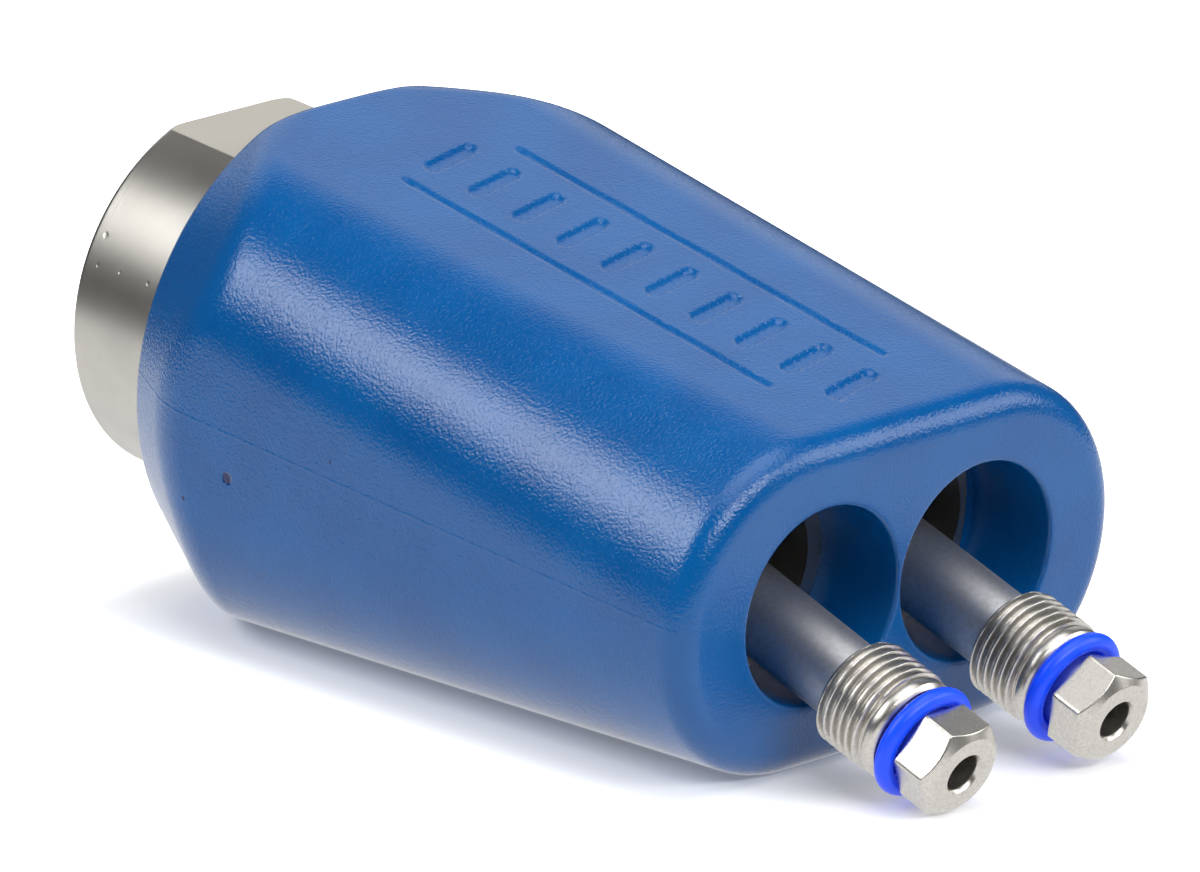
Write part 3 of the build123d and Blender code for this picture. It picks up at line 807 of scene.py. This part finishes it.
# The room's even light, and the soft boxes: azimuth, elevation and lean in degrees, size in metres, radiance
ROOM_LIGHT = 0.07
SOFT_BOXES = {
    "side_box": (145.0, 36.0, 24.0, (0.60, 0.60), 1.7),
    "side_core": (146.0, 34.5, 24.0, (0.52, 0.46), 4.4),
    "back_panel": (50.0, 21.0, 0.0, (1.10, 0.78), 0.66),
    "top_box": (-90.0, 86.0, 0.0, (0.92, 0.90), 2.2),
    "front_box": (-41.0, 27.0, 0.0, (0.56, 0.56), 3.2),
    "front_strip": (-98.0, 40.0, 0.0, (0.84, 0.22), 8.5),
}


def make_camera():
    """Camera at the photograph's angle: azimuth and elevation in the tool frame, then its roll."""
    a, e, r = (math.radians(v) for v in (CAMERA_AZIMUTH, CAMERA_ELEVATION, CAMERA_ROLL))
    away = np.array([math.sin(a) * math.cos(e), -math.cos(a) * math.cos(e), math.sin(e)])
    level = np.array([math.cos(a), math.sin(a), 0.0])
    rise = np.cross(away, level)
    right = math.cos(r) * level + math.sin(r) * rise
    up = math.cos(r) * rise - math.sin(r) * level
    basis = np.stack([RIGHT, BACK, UP], 1)
    axes = basis @ np.stack([right, up, away], 1)
    place = FRONT + MM * axes @ np.array([*CAMERA_AIM, CAMERA_DISTANCE])
    data = bpy.data.cameras.new("camera")
    data.lens = CAMERA_LENS
    data.sensor_width = 36.0
    data.clip_start, data.clip_end = 0.1, 20.0
    camera = bpy.data.objects.new("camera", data)
    turned = Matrix(axes.tolist()).to_4x4()
    camera.matrix_world = Matrix.Translation(Vector(place)) @ turned
    bpy.context.scene.collection.objects.link(camera)
    bpy.context.scene.camera = camera


def area_lamp(name, azimuth, elevation, lean, size, radiance):
    """A soft box a metre away, facing the head from a direction of the tool frame.

    It leans clockwise as seen from the head. Its energy is its radiance times pi and its area.
    """
    turn, rise = math.radians(azimuth), math.radians(elevation)
    flat = math.cos(turn) * RIGHT + math.sin(turn) * BACK
    direction = Vector(math.cos(rise) * flat + math.sin(rise) * UP)
    data = bpy.data.lights.new(name, "AREA")
    data.shape = "RECTANGLE"
    data.size, data.size_y = size
    data.energy = radiance * math.pi * size[0] * size[1]
    lamp = bpy.data.objects.new(name, data)
    lamp.location = Vector((0.0, 0.0, 0.03)) + direction
    leaning = Quaternion((0.0, 0.0, 1.0), math.radians(lean))
    lamp.rotation_euler = ((-direction).to_track_quat("-Z", "Y") @ leaning).to_euler()
    lamp.visible_camera = False
    bpy.context.scene.collection.objects.link(lamp)


def make_floor():
    """A pale plain floor.

    The camera sees it as its shadows plus a white glow. Within a short reach of the head's footprint the glow
    falls, so that the shadow shows. The gap to the footprint is the length of what the place lies beyond its
    half sizes. Metal mirrors a darker sheet with a glow of its own.
    """
    size = 4.0
    mesh = bpy.data.meshes.new("floor")
    corners = [(-size, -size, 0.0), (size, -size, 0.0), (size, size, 0.0), (-size, size, 0.0)]
    mesh.from_pydata(corners, [], [(0, 1, 2, 3)])
    f = Finish("pale_floor")
    mirrored = f.node("ShaderNodeLightPath", {}, output="Is Glossy Ray")
    on_sheet = 1.0 - f.measure("LENGTH", f.place).smooth(*SHEET_EDGE)
    lit = FLOOR_ALBEDO - FAR_ALBEDO - mirrored * (FLOOR_ALBEDO - MIRRORED_ALBEDO)
    albedo = on_sheet * lit + FAR_ALBEDO
    shine = on_sheet * mirrored * MIRRORED_GLOW
    f.set(
        Base_Color=f.point(albedo, albedo, albedo),
        Emission_Color=f.point(shine, shine, shine),
        Emission_Strength=1.0,
        Roughness=1.0,
        Specular_IOR_Level=0.0,
    )
    beside = f.vector("ABSOLUTE", f.vector("SUBTRACT", f.place, FOOTPRINT_MIDDLE))
    beyond = f.vector("MAXIMUM", f.vector("SUBTRACT", beside, FOOTPRINT_HALF), (0.0, 0.0, 0.0))
    gap = f.measure("LENGTH", beyond)
    glow = f.node(
        "ShaderNodeBsdfPrincipled",
        {},
        Base_Color=WHITE,
        Emission_Color=f.blend(gap.smooth(0.0, SHADOW_REACH), (*[FLOOR_GLOW] * 3, 1.0), WHITE),
        Emission_Strength=1.0,
        Roughness=1.0,
        Specular_IOR_Level=0.0,
    )
    seen = f.node("ShaderNodeLightPath", {}, output="Is Camera Ray")
    mixed = f.node("ShaderNodeMixShader", {}, seen, Value(f, f.shader.outputs["BSDF"]), glow)
    f.feed(f.tree.nodes["Material Output"].inputs["Surface"], mixed)
    mesh.materials.append(f.material)
    floor = bpy.data.objects.new("floor", mesh)
    bpy.context.scene.collection.objects.link(floor)


def make_world():
    """An even dim room behind the soft boxes."""
    world = bpy.data.worlds.new("studio")
    world.use_nodes = True
    sky = world.node_tree.nodes["Background"]
    sky.inputs["Color"].default_value = WHITE
    sky.inputs["Strength"].default_value = ROOM_LIGHT
    bpy.context.scene.world = world


make_camera()
make_floor()
make_world()
for box, settings in SOFT_BOXES.items():
    area_lamp(box, *settings)
bpy.context.scene.view_settings.view_transform = "Standard"
